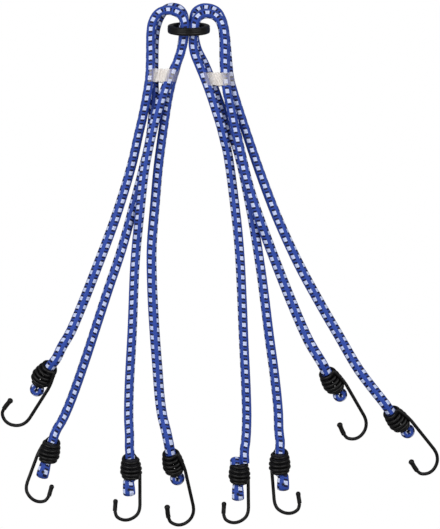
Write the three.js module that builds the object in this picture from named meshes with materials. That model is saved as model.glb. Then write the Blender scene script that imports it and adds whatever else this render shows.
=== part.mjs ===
// A spider bungee strap lying on a table. Four elastic cords are looped through one ring, which gives
// eight arms, and each arm ends in a coated wire hook whose coil grips the folded end of the cord.
// Units are millimetres. +X is to the right of the picture, +Y is up it, and +Z is up from the table.
// The origin is under the middle of the hooks, ring and bands, at the table.
import * as THREE from "three";

// Driving sizes.
const CORD_DIAMETER = 8;
const CORD_SIDES = 8;
const WIRE_DIAMETER = 2.9;
const WIRE_SIDES = 6;
const GAP = 0.3;
const RING = { outer: 18, inner: 13.3, height: 6.6, round: 1.2, lean: 14, sunk: 0.5 };
const COIL = { mouth: 6, widest: 7.7, foot: 5.5, turns: 5.2, pitch: 3.55, widestAt: 0.65 };
const COIL_LEAN = { mouth: 0.38, foot: 0.15 };
const BEND = { along: 7.5, corner: 0.6, cornerLean: 3 };
const CAP = { radius: 2.05, lift: 0.52, clearOfWire: 1.1, rim: 0.8 };
const KNOB = {
  over: { radius: 5.2, length: 9.6 },
  under: { radius: 4.9, length: 13.2 },
};
const BAND = { height: 19.2, wall: 0.6 };

// The wire's six-sided section has a round wire's area.
const SIDE_ANGLE = (2 * Math.PI) / WIRE_SIDES;
const WIRE_CORNER = (WIRE_DIAMETER / 2) * Math.sqrt(SIDE_ANGLE / Math.sin(SIDE_ANGLE));

// The picture gives places across and up the table. One of its pixels is this many millimetres there,
// and what stands nearer to the eye looks larger.
const MM_PER_PIXEL = 0.85;
const EYE = { across: 220, down: 264.5, height: 2500 };
const ORIGIN = { across: 221.04, down: 273.68 };

function place(across, down, height) {
  const nearer = 1 - height / EYE.height;
  const x = (across - EYE.across) * nearer + EYE.across - ORIGIN.across;
  const y = (down - EYE.down) * nearer + EYE.down - ORIGIN.down;
  return new THREE.Vector3(x * MM_PER_PIXEL, -y * MM_PER_PIXEL, height);
}

// Each hook: the middle of its coil's mouth in the picture, the headings of the coil and of the shank
// in degrees from straight down the picture towards the right, the side that the shank is on
// (1 right, -1 left), whether the shank passes over or under the coil, how far the shank is from the
// coil's axis, and how far the bottom of the J is from the mouth.
const HOOKS = {
  1: { mouth: [50.2, 366.5], coil: -38, shank: -32.8, side: 1, over: true, off: 8.9, reach: 60.9 },
  2: { mouth: [52.3, 441.2], coil: -15.3, shank: -20.4, side: -1, over: false, off: 8, reach: 53 },
  3: { mouth: [130.2, 457.4], coil: 4, shank: 0.2, side: 1, over: false, off: 7.9, reach: 53.7 },
  4: { mouth: [170.4, 453], coil: 14, shank: 12.4, side: 1, over: true, off: 9.1, reach: 62.6 },
  5: { mouth: [239.1, 462.1], coil: 1.5, shank: 0.6, side: 1, over: false, off: 7.6, reach: 51.9 },
  6: { mouth: [279.9, 452.2], coil: -1, shank: 4.6, side: -1, over: false, off: 8, reach: 52.9 },
  7: { mouth: [326.5, 372.2], coil: 31.9, shank: 30.3, side: 1, over: true, off: 9, reach: 62.5 },
  8: { mouth: [390.4, 411.6], coil: 40.6, shank: 39, side: 1, over: true, off: 8.8, reach: 62.7 },
};

// How far each knob below a coil leans towards the shank.
const KNOB_OFF = { 1: 3, 2: 0.5, 3: -2.9, 4: 0.3, 5: -1.7, 6: -3.2, 7: -0.3, 8: 0.3 };

// Cords that come in beside the coil's axis: how far beside it at the mouth, and how far above it.
const BESIDE = {
  2: { mouth: -0.2, above: -0.7 },
  4: { mouth: 0.2, above: 0.7 },
  5: { mouth: 4.7, above: 4.7 },
  7: { mouth: 0.2, above: 0.7 },
  8: { mouth: 0.2, above: 0.7 },
};
const ON_THE_AXIS = { mouth: 0, above: 0 };
const TUCKED_HOOK = "5";

// The J's middle line and its cap's ends: distance along from the bottom of the J, and sideways from
// the shank. The hooks that lie with the shank over the coil are bent a little wider.
const J = {
  over: {
    wire: [
      [-14.2, 0], [-10.3, -0.6], [-6.6, -2.1], [-3.5, -4.6], [-1.3, -7.9], [-0.1, -11.7],
      [-0.3, -15.7], [-2, -19.2], [-4.9, -21.9], [-8.7, -22.7],
    ],
    cap: [[-8.7, -22.7], [-20.4, -21.5]],
  },
  under: {
    wire: [
      [-12.7, 0], [-8.8, -0.5], [-5.1, -2.1], [-2.4, -5], [-0.6, -8.6], [0, -12.5],
      [-0.8, -16.4], [-3.1, -19.7], [-7.6, -21.3],
    ],
    cap: [[-7.6, -21.3], [-18, -20.7]],
  },
};

// Each cord runs from one hook, up through the ring in a loop, and down to another. The rows are
// across and down the picture, and the height of the cord's middle over the table.
const CORDS = {
  left_upper: {
    from: 1,
    to: 3,
    route: [
      [61.9, 347, 14.6], [70.1, 333, 10.2], [80.1, 310, 5], [95.3, 271.6, 4], [115.8, 216.9, 4],
      [131.8, 164.6, 4], [138.5, 135, 4.2], [142.9, 116, 6.8], [146.8, 96, 12], [149.8, 76, 13.9],
      [150.6, 54, 13.2], [151.1, 31, 12.7], [153.2, 21, 12.8], [158.9, 12.9, 12.9], [167.3, 10.2, 13.2],
      [175.6, 11.8, 15.4], [181.9, 16, 18.6], [184.8, 22.8, 20.2], [184.6, 32.5, 20.2], [182.6, 45, 18.3],
      [178.9, 57.9, 15.5], [174.2, 68.5, 14.2], [168.8, 80, 13.9], [162.6, 95.5, 13.5],
      [156, 117, 12.7], [149.9, 142, 12.7], [144.5, 170.1, 12.7], [141.4, 197.2, 12.7],
      [139.3, 217.1, 12], [137.8, 232.1, 8.9], [136.4, 246, 5], [134.7, 268, 4], [132.2, 330, 4],
      [129.2, 388, 4], [128.7, 418, 5.2], [129.5, 436, 8.2],
    ],
  },
  left_lower: {
    from: 2,
    to: 4,
    route: [
      [62.9, 418.9, 7], [71.2, 399.8, 4.4], [83.8, 364.3, 4], [108.1, 289.9, 4], [121.8, 248.9, 4],
      [133.6, 206.2, 4], [142.9, 170.2, 4], [150, 139.1, 4], [153.2, 112, 4], [154.2, 92, 4.9],
      [153.9, 76, 5.2], [153.9, 58, 4.7], [154.2, 43, 4.1], [155.6, 29.2, 4], [159.2, 18.3, 4],
      [164.6, 10.4, 4.2], [171.5, 7.5, 5], [179.2, 9.2, 7.4], [183.7, 15.6, 10], [183.8, 26, 11.2],
      [182.9, 38.5, 10.7], [181.3, 49.5, 8.3], [177.8, 60.5, 6.2], [175, 70.5, 5.3], [171.8, 81.2, 5.2],
      [168.6, 95.2, 4.8], [165.7, 112.2, 4], [158.5, 165, 4], [155.5, 198, 4], [151.7, 248, 4],
      [152.1, 285, 4], [154.5, 330, 4], [157.4, 368, 4], [159.8, 398.2, 5.6], [162.4, 416.2, 9.6],
      [166.2, 431.5, 14.2],
    ],
  },
  right_upper: {
    from: 5,
    to: 7,
    route: [
      [245.8, 440, 7.6], [246.7, 418, 4.6], [246.1, 392, 4], [243.9, 345, 4], [239.3, 249, 4],
      [234.5, 203, 4], [227.8, 154, 5.2], [224.2, 139.1, 8.8], [220.5, 124.7, 11.6],
      [216.3, 111.3, 12.9], [210.7, 94.3, 13.7], [205.4, 79.9, 13.9], [199.3, 65, 14.5],
      [194.6, 53, 16.4], [193.2, 42.1, 18.8], [194.6, 31, 20.2], [195.4, 22.5, 19.8],
      [199.2, 16.3, 17.4], [205.6, 13.8, 14.8], [213, 14.8, 13], [219.1, 19.6, 12.7],
      [222.6, 28.2, 12.8], [223.9, 40, 12.9], [224, 56, 13.2], [224.9, 74, 13.9], [226.9, 90, 13.6],
      [231.4, 111, 12.7], [237.2, 136, 12.7], [242.5, 159.9, 12.7], [248.2, 183.8, 12.7],
      [255.6, 207.7, 12.5], [262, 225.7, 10.8], [267.7, 241.2, 6.6], [275.7, 262.2, 4],
      [291.6, 302.2, 4.2], [308.9, 341.4, 11.4],
    ],
  },
  right_lower: {
    from: 6,
    to: 8,
    route: [
      [278.9, 431, 7.2], [278.1, 410, 4.4], [274.6, 376.2, 4], [269.2, 336, 4], [261.1, 272, 4],
      [253.5, 224, 4], [246.7, 189.1, 4], [240.8, 162.3, 4], [235.2, 143.2, 4], [227.7, 125, 4],
      [221.4, 108, 4], [214.9, 90.1, 5], [209.5, 75.6, 5.3], [203.9, 62.7, 5.8], [198, 51.2, 8],
      [195, 41.1, 10.3], [193.8, 31, 11.2], [193.5, 20.5, 10.2], [195.5, 12.4, 7.2],
      [200.9, 8.5, 4.9], [208.6, 8.1, 4.1], [216.9, 11.6, 4], [222, 20.2, 4], [225, 33.2, 4],
      [226.5, 48, 4.2], [227.9, 64, 5.1], [229.6, 78.9, 5.2], [233.4, 92.5, 4.8], [239.3, 111.2, 4],
      [248.1, 137.9, 4], [260.2, 173.1, 4], [276.6, 216, 4], [298.5, 263.7, 4], [321.3, 305.6, 4],
      [338.9, 335.9, 5.2], [359.1, 370.2, 12.2],
    ],
  },
};

// The two clear bands: the picture line along each one's upper edge, its lower edge, and how far it
// reaches to the left and right there.
const BANDS = {
  left: { top: 69.3, foot: 82.3, topSpan: [143.9, 181.9], footSpan: [142.9, 177.9] },
  right: { top: 73, foot: 86, topSpan: [196.3, 235.4], footSpan: [201.1, 237.6] },
};

const part = new THREE.Group();
const sheath = new THREE.MeshStandardMaterial({ color: 0x2f49a8, roughness: 0.8, metalness: 0 });
const coating = new THREE.MeshStandardMaterial({ color: 0x101010, roughness: 0.45, metalness: 0 });
const moulding = new THREE.MeshStandardMaterial({ color: 0x141414, roughness: 0.5, metalness: 0 });
const clearFilm = new THREE.MeshStandardMaterial({ color: 0xeef0f2, roughness: 0.2, metalness: 0 });

function add(name, geometry, material) {
  const mesh = new THREE.Mesh(geometry, material.clone());
  mesh.name = name;
  part.add(mesh);
  return mesh;
}

// A curve whose steps fall exactly on given points, so that bends get short steps and straights long ones.
class SteppedPath extends THREE.Curve {
  constructor(points) {
    super();
    this.points = points;
  }

  getPointAt(share) {
    return this.points[Math.round(share * (this.points.length - 1))].clone();
  }

  getTangentAt(share) {
    const last = this.points.length - 1;
    const at = Math.round(share * last);
    const ahead = this.points[Math.min(at + 1, last)];
    const behind = this.points[Math.max(at - 1, 0)];
    return ahead.clone().sub(behind).normalize();
  }
}

// A bar through the points, with a many-sided section.
function bar(points, corner, sides) {
  const section = new THREE.Shape();
  for (let i = 0; i < sides; i++) {
    const angle = ((i + 0.5) / sides) * 2 * Math.PI;
    section[i ? "lineTo" : "moveTo"](corner * Math.cos(angle), corner * Math.sin(angle));
  }
  return new THREE.ExtrudeGeometry(section, {
    steps: points.length - 1,
    extrudePath: new SteppedPath(points),
    bevelEnabled: false,
  });
}

// A turned piece: the profile's rows are radius and distance along the axis from a point.
function turned(name, profile, sides, start, direction, material) {
  const rows = profile.map(([radius, along]) => new THREE.Vector2(radius, along));
  const mesh = add(name, new THREE.LatheGeometry(rows, sides), material);
  mesh.position.copy(start);
  mesh.quaternion.setFromUnitVectors(new THREE.Vector3(0, 1, 0), direction);
  return mesh;
}

// Three directions of a hook at one heading: along it from the mouth to the J, sideways to its shank,
// and up from its plane. The tilt lowers the J towards the table.
function directions(heading, side, tilt) {
  const turn = THREE.MathUtils.degToRad(heading);
  const drop = THREE.MathUtils.degToRad(tilt);
  const along = new THREE.Vector3(
    Math.sin(turn) * Math.cos(drop), -Math.cos(turn) * Math.cos(drop), -Math.sin(drop));
  const sideways = new THREE.Vector3(side * Math.cos(turn), side * Math.sin(turn), 0);
  const up = new THREE.Vector3(
    Math.sin(turn) * Math.sin(drop), -Math.cos(turn) * Math.sin(drop), Math.cos(drop));
  return { along, sideways, up };
}

function offset(start, axes, along, sideways, up) {
  return start.clone()
    .addScaledVector(axes.along, along)
    .addScaledVector(axes.sideways, sideways)
    .addScaledVector(axes.up, up);
}

// The coil's centreline radius at a share of its length from the mouth.
function coilRadius(share) {
  const { mouth, widest, foot, widestAt } = COIL;
  if (share < widestAt) {
    return mouth + (widest - mouth) * Math.sin((Math.PI / 2) * (share / widestAt));
  }
  return foot + (widest - foot) * Math.cos((Math.PI / 2) * ((share - widestAt) / (1 - widestAt)));
}

// How a hook lies. With its shank over the coil it rests on the coil and on the end of the J, so it
// tilts. With its shank under the coil it lies flat.
const coilOuter = COIL.widest + WIRE_CORNER + 0.02;
const LIE = {
  over: { tilt: 16, axisHeight: 13.1, shankUp: 6.6 },
  under: { tilt: 0, axisHeight: coilOuter, shankUp: WIRE_CORNER + 0.02 - coilOuter },
};

function kindOf(hook) {
  return hook.over ? "over" : "under";
}

// The middle of the mouth and the axes of the coil and the shank.
function stance(hook) {
  const lie = LIE[kindOf(hook)];
  const mouth = place(hook.mouth[0], hook.mouth[1], lie.axisHeight);
  const coil = directions(hook.coil, hook.side, lie.tilt);
  const shank = directions(hook.shank, hook.side, lie.tilt);
  return { lie, mouth, coil, shank };
}

const coilLength = COIL.turns * COIL.pitch;
const COIL_STEPS_A_TURN = 9;
const LAST_TURN_ENDS = 75;
const BEND_STEPS = 5;
const J_STEPS = 12;

// One hook is one wire: from its end at the coil's foot, up the coil to the mouth, over in a short bend,
// down the shank and round the J.
function hookWire(hook) {
  const { lie, mouth, coil, shank } = stance(hook);
  const face = hook.over ? 1 : -1;
  const points = [];
  const steps = Math.round(COIL.turns * COIL_STEPS_A_TURN);
  for (let i = steps; i >= 0; i--) {
    const share = i / steps;
    const angle = THREE.MathUtils.degToRad(LAST_TURN_ENDS) + share * COIL.turns * 2 * Math.PI;
    const radius = coilRadius(share);
    const up = face * radius * Math.sin(angle);
    const lean = COIL_LEAN.mouth + (COIL_LEAN.foot - COIL_LEAN.mouth) * share;
    points.push(offset(mouth, coil, share * coilLength + lean * up, radius * Math.cos(angle), up));
  }

  const bendStart = points[points.length - 1];
  const bendEnd = offset(mouth, shank, BEND.along, hook.off, lie.shankUp);
  const cornerAlong = BEND.corner + face * COIL_LEAN.mouth * BEND.cornerLean;
  const corner = offset(mouth, shank, cornerAlong, hook.off, lie.shankUp);
  const bend = new THREE.QuadraticBezierCurve3(bendStart, corner, bendEnd);
  points.push(...bend.getPoints(BEND_STEPS).slice(1));

  const rows = J[kindOf(hook)].wire;
  const curve = new THREE.CatmullRomCurve3(rows.map((row, i) => jPoint(hook, row, i / rows.length)));
  const arc = curve.getPoints(J_STEPS);
  points.push(points[points.length - 1].clone().lerp(arc[0], 0.5), ...arc);
  return points;
}

// A point of the J, by its row and by its share of the whole bend. The end rises a little, because the
// cap on it is thicker than the wire.
function jPoint(hook, [along, sideways], share) {
  const { lie, mouth, shank } = stance(hook);
  return offset(mouth, shank, hook.reach + along, hook.off + sideways, lie.shankUp + CAP.lift * share);
}

function addCap(number, hook) {
  const [first, last] = J[kindOf(hook)].cap;
  const wireEnd = jPoint(hook, first, 1);
  const tip = jPoint(hook, last, 1);
  const direction = tip.clone().sub(wireEnd).normalize();
  const start = wireEnd.clone().addScaledVector(direction, CAP.clearOfWire);
  const length = tip.distanceTo(start);
  const { radius, rim } = CAP;
  const profile = [
    [0, 0], [radius - rim / 2, 0], [radius, rim], [radius, length - 2 * rim],
    [0.75 * radius, length - 0.6 * rim], [0, length],
  ];
  turned("tip_cap_" + number, profile, 10, start, direction, coating);
}

// How far the folded end reaches out of the mouth, where the cord meets it.
const STEM_TOP = 1.6;
const FACE_GAP = 0.55;

// The cord's end is folded back inside the coil, so that a knob of it stands out at the coil's foot.
const NECK_GAP = GAP + 0.2;
const FOLD = {
  throat: 4, swell: 1.1, swellAt: 0.6, drawnIn: 2, clearOfFoot: 1.4, wideFrom: 0.4, wideTo: 0.7, noseFrom: 0.93,
};
const NOSE = 0.7;

function addFoldedEnd(number, hook) {
  const { mouth, coil } = stance(hook);
  const neck = COIL.foot - WIRE_CORNER - NECK_GAP;
  const { radius, length } = KNOB[kindOf(hook)];
  const foot = coilLength + WIRE_DIAMETER / 2;
  const profile = [
    [0, -STEM_TOP], [neck, -STEM_TOP], [neck, FOLD.throat], [neck + FOLD.swell, coilLength * FOLD.swellAt],
    [neck, coilLength - FOLD.drawnIn], [neck, foot + FOLD.clearOfFoot],
    [radius, foot + FOLD.wideFrom * length], [radius, foot + FOLD.wideTo * length],
    [NOSE * radius, foot + FOLD.noseFrom * length], [0, foot + length],
  ];
  const mesh = turned("folded_end_" + number, profile, 10, mouth, coil.along, sheath);
  const sideways = coil.sideways.clone().applyQuaternion(mesh.quaternion.clone().invert());
  const corners = mesh.geometry.getAttribute("position");
  for (let i = 0; i < corners.count; i++) {
    const past = corners.getY(i) - foot - FOLD.clearOfFoot;
    const share = THREE.MathUtils.clamp(past / (FOLD.wideFrom * length - FOLD.clearOfFoot), 0, 1);
    corners.setX(i, corners.getX(i) + sideways.x * KNOB_OFF[number] * share);
    corners.setZ(i, corners.getZ(i) + sideways.z * KNOB_OFF[number] * share);
  }
}

// On one hook the folded end also stands out at the mouth, beside the cord.
const TUCKED = { above: 2.4, aside: 0.5, up: 2.5, straight: 2.6, round: 4.6, length: 5.2 };

function addTuckedEnd(number, hook) {
  const { mouth, coil } = stance(hook);
  const radius = CORD_DIAMETER / 2;
  const sideways = BESIDE[number].mouth - CORD_DIAMETER - TUCKED.aside;
  const start = offset(mouth, coil, -TUCKED.above, sideways, TUCKED.up);
  const profile = [
    [0, 0], [radius, 0], [radius, TUCKED.straight], [NOSE * radius, TUCKED.round], [0, TUCKED.length],
  ];
  turned("tucked_end_" + number, profile, 10, start, coil.along.clone().negate(), sheath);
}

// The route's listed points, with two at each end, so that the cord meets the folded end in the coil's
// mouth face to face and is straight just above it.
const ENTRY = { mouth: STEM_TOP + FACE_GAP, above: 9 };

function cordPoints({ from, to, route }) {
  const entry = (number) => {
    const { mouth, coil } = stance(HOOKS[number]);
    const beside = BESIDE[number] ?? ON_THE_AXIS;
    return [
      offset(mouth, coil, -ENTRY.mouth, beside.mouth, 0),
      offset(mouth, coil, -ENTRY.above, beside.above, 0),
    ];
  };
  return [
    ...entry(from),
    ...route.map(([across, down, height]) => place(across, down, height)),
    ...entry(to).reverse(),
  ];
}

const STEPS_A_ROW = 1.5;

function addCord(name, cord) {
  const listed = cordPoints(cord);
  const curve = new THREE.CatmullRomCurve3(listed);
  const points = curve.getPoints(Math.round(STEPS_A_ROW * (listed.length - 1)));
  for (const point of points) {
    point.z = Math.max(point.z, CORD_DIAMETER / 2);
  }
  add("cord_" + name, bar(points, CORD_DIAMETER / 2, CORD_SIDES), sheath);
}

// The ring stands on its rim and leans back a little, and its low spot is cut off at the table.
const RING_AT = { across: 188.8, down: 28.95 };

function addRing() {
  const { outer, inner, height, round } = RING;
  const half = height / 2;
  const profile = [
    [inner + round, -half], [outer - round, -half], [outer, round - half], [outer, half - round],
    [outer - round, half], [inner + round, half], [inner, half - round], [inner, round - half],
    [inner + round, -half],
  ].map(([radius, along]) => new THREE.Vector2(radius, along));
  const geometry = new THREE.LatheGeometry(profile, 36, Math.PI);
  geometry.rotateX(THREE.MathUtils.degToRad(RING.lean));
  geometry.computeBoundingBox();
  const middle = place(RING_AT.across, RING_AT.down, -geometry.boundingBox.min.z - RING.sunk);
  geometry.translate(middle.x, middle.y, middle.z);
  const corners = geometry.getAttribute("position");
  for (let i = 0; i < corners.count; i++) {
    corners.setZ(i, Math.max(corners.getZ(i), 0));
  }
  add("ring", geometry, moulding);
}

// A band is a flat tube of clear film round four runs of cord, narrower at its lower edge.
function addBand(name, { top, foot, topSpan, footSpan }) {
  const { height, wall } = BAND;
  const round = CORD_DIAMETER / 2 + GAP;
  const outline = (path, half, low, high, radius) => {
    path.absarc(half - radius, low + radius, radius, -Math.PI / 2, 0, false);
    path.absarc(half - radius, high - radius, radius, 0, Math.PI / 2, false);
    path.absarc(radius - half, high - radius, radius, Math.PI / 2, Math.PI, false);
    path.absarc(radius - half, low + radius, radius, Math.PI, 1.5 * Math.PI, false);
    return path;
  };
  const upper = topSpan.map((across) => place(across, top, height / 2));
  const lower = footSpan.map((across) => place(across, foot, height / 2));
  const half = (upper[1].x - upper[0].x) / 2;
  const section = outline(new THREE.Shape(), half, 0.05, height, round + wall);
  section.holes.push(outline(new THREE.Path(), half - wall, 0.05 + wall, height - wall, round));
  const depth = upper[0].y - lower[0].y;
  const geometry = new THREE.ExtrudeGeometry(section, { depth, bevelEnabled: false, curveSegments: 5 });
  geometry.rotateX(Math.PI / 2);
  const narrower = (lower[1].x - lower[0].x) / 2 / half;
  const drift = (lower[0].x + lower[1].x - upper[0].x - upper[1].x) / 2;
  const corners = geometry.getAttribute("position");
  for (let i = 0; i < corners.count; i++) {
    const share = -corners.getY(i) / depth;
    corners.setX(i, corners.getX(i) * (1 + (narrower - 1) * share) + drift * share);
  }
  geometry.translate((upper[0].x + upper[1].x) / 2, upper[0].y, 0);
  add("band_" + name, geometry, clearFilm);
}

for (const [name, cord] of Object.entries(CORDS)) {
  addCord(name, cord);
}
for (const [number, hook] of Object.entries(HOOKS)) {
  add("hook_" + number, bar(hookWire(hook), WIRE_CORNER, WIRE_SIDES), coating);
  addCap(number, hook);
  addFoldedEnd(number, hook);
  if (number === TUCKED_HOOK) {
    addTuckedEnd(number, hook);
  }
}
addRing();
for (const [name, band] of Object.entries(BANDS)) {
  addBand(name, band);
}

export default part;
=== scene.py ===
# %% [markdown]
# # Dressing a spider bungee strap
#
# Four elastic cords are looped through one moulded ring. That gives eight arms, and each arm ends in a
# coated wire hook whose coil grips the folded end of the cord. Two clear bands hold the runs of cord
# together below the ring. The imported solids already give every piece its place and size, so this script
# keeps them as a fixed frame and builds the fine surfaces in the same frame: the woven sheath, the round
# wire, the soft caps, the smooth ring and the thin film.

import math

import bpy
import numpy as np
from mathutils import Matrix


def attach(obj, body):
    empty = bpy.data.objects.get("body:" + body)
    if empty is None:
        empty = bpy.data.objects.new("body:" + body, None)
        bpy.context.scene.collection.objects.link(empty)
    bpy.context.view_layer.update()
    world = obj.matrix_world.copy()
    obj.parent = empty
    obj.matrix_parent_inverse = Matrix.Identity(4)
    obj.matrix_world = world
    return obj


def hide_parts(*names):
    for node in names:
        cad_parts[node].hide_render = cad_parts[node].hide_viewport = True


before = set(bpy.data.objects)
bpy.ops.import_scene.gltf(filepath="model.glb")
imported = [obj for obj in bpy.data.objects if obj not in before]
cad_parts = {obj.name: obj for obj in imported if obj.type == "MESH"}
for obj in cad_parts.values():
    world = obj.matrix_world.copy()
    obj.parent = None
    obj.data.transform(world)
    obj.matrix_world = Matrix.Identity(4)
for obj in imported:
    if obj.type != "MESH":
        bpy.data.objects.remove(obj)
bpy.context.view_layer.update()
print("solids in the frame:", len(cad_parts))

# %% [markdown]
# The strap is drawn as it lies on a table, seen from straight above. Sizes are in millimetres here, as a
# maker would give them, and a mesh is turned into metres when it is made. A place is given as it looks in
# the picture, across and down in pixels, with its height over the table, because what stands nearer to
# the eye looks larger.

# %% Places in the picture
MM = 0.001
MM_PER_PIXEL = 0.85
EYE = {"across": 220, "down": 264.5, "height": 2500}
ORIGIN = {"across": 221.04, "down": 273.68}
PICTURE_HEIGHT = 529


def place(across, down, height):
    nearer = 1 - height / EYE["height"]
    x = (across - EYE["across"]) * nearer + EYE["across"] - ORIGIN["across"]
    y = (down - EYE["down"]) * nearer + EYE["down"] - ORIGIN["down"]
    return np.array([x * MM_PER_PIXEL, -y * MM_PER_PIXEL, height])


# %% [markdown]
# The camera hangs 2.5 m above the middle of the picture and looks straight down. A long lens at that height
# keeps the arms' shapes, and its length follows from the height and the size of the picture.

# %% The camera over the table
SENSOR = 36
camera_data = bpy.data.cameras.new("over_the_table")
camera_data.sensor_width = SENSOR
camera_data.lens = SENSOR * EYE["height"] / (PICTURE_HEIGHT * MM_PER_PIXEL)
camera_data.clip_end = 20
camera = bpy.data.objects.new("over_the_table", camera_data)
under_the_eye = place(EYE["across"], EYE["down"], 0)
camera.location = (under_the_eye[0] * MM, under_the_eye[1] * MM, EYE["height"] * MM)
bpy.context.scene.collection.objects.link(camera)
bpy.context.scene.camera = camera
print("lens, mm:", round(camera_data.lens, 1))

# %% [markdown]
# The cords end in the mouths of the hooks' coils, so the hooks' places come first. A hook has three
# directions: along it from the coil's mouth to the J, sideways to its shank, and up from its plane. Four
# hooks lie flat with the shank under the coil. The other four are turned over, so the shank passes over
# the coil and the hook tilts until the end of its J touches the table. `coil` and `shank` are the headings
# of those two parts in degrees, `off` is how far the shank lies beside the coil's axis, and `reach` is how
# far the bottom of the J lies from the mouth. `KNOB_OFF` and `BESIDE` shift the folded end and the cord off
# that axis.

# %% Where each hook lies
HOOK_COLUMNS = ("mouth", "coil", "shank", "side", "over", "off", "reach")
HOOK_ROWS = [
    ((50.2, 366.5), -38, -32.8, 1, True, 8.9, 60.9),
    ((52.3, 441.2), -15.3, -20.4, -1, False, 8, 53),
    ((130.2, 457.4), 4, 0.2, 1, False, 7.9, 53.7),
    ((170.4, 453), 14, 12.4, 1, True, 9.1, 62.6),
    ((239.1, 462.1), 1.5, 0.6, 1, False, 7.6, 51.9),
    ((279.9, 452.2), -1, 4.6, -1, False, 8, 52.9),
    ((326.5, 372.2), 31.9, 30.3, 1, True, 9, 62.5),
    ((390.4, 411.6), 40.6, 39, 1, True, 8.8, 62.7),
]
HOOKS = {number: dict(zip(HOOK_COLUMNS, row)) for number, row in enumerate(HOOK_ROWS, 1)}
KNOB_OFF = {1: 3, 2: 0.5, 3: -2.9, 4: 0.3, 5: -1.7, 6: -3.2, 7: -0.3, 8: 0.3}
BESIDE = {2: -0.7, 4: 0.7, 5: 4.7, 7: 0.7, 8: 0.7}
WIRE = 2.9
WIRE_CORNER = 1.594
COIL = {"mouth": 5.6, "widest": 8, "foot": 4.4, "turns": 5.2, "pitch": 3.55, "widest_at": 0.66}
COIL_LEAN = {"mouth": 0.5, "foot": 0.2}
COIL_LENGTH = COIL["turns"] * COIL["pitch"]
OVER_TABLE = 0.02
COIL_OUTER = COIL["widest"] + WIRE_CORNER + OVER_TABLE
LIE = {
    True: {"tilt": 16, "axis_height": 13.1, "shank_up": 6.6},
    False: {"tilt": 0, "axis_height": COIL_OUTER, "shank_up": WIRE_CORNER + OVER_TABLE - COIL_OUTER},
}


def directions(heading, side, tilt):
    turn, drop = math.radians(heading), math.radians(tilt)
    along = [math.sin(turn) * math.cos(drop), -math.cos(turn) * math.cos(drop), -math.sin(drop)]
    sideways = [side * math.cos(turn), side * math.sin(turn), 0]
    up = [math.sin(turn) * math.sin(drop), -math.cos(turn) * math.sin(drop), math.cos(drop)]
    return np.array([along, sideways, up])


class Stance:
    """The middle of a hook's mouth, with the directions of its coil and of its shank."""

    def __init__(self, number, hook):
        self.number, self.hook, self.lie = number, hook, LIE[hook["over"]]
        self.mouth = place(*hook["mouth"], self.lie["axis_height"])
        self.coil = directions(hook["coil"], hook["side"], self.lie["tilt"])
        self.shank = directions(hook["shank"], hook["side"], self.lie["tilt"])

    def by_coil(self, along, sideways, up):
        return self.mouth + np.array([along, sideways, up]) @ self.coil

    def by_shank(self, along, sideways, up):
        return self.mouth + np.array([along, sideways, up]) @ self.shank


STANCES = {number: Stance(number, hook) for number, hook in HOOKS.items()}
print("hooks:", len(STANCES))

# %% [markdown]
# A cord lies where its solid lies. Each row of a route is a place in the picture and the height of the
# cord's middle there. Where cords cross, one lies on the other. They rise through the ring and turn over
# at the top. `ends` names the hooks at the two ends and `full` gives the cord's radius there. The first
# number of a row in `rolls` and in `squares` is the distance along the route, in pixels. `rolls` says how
# many degrees a column of the pattern stands to the right of the cord's top there, and `squares` counts
# the white squares passed. `hand` is -1 on the one cord whose pattern winds the other way.

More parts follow.
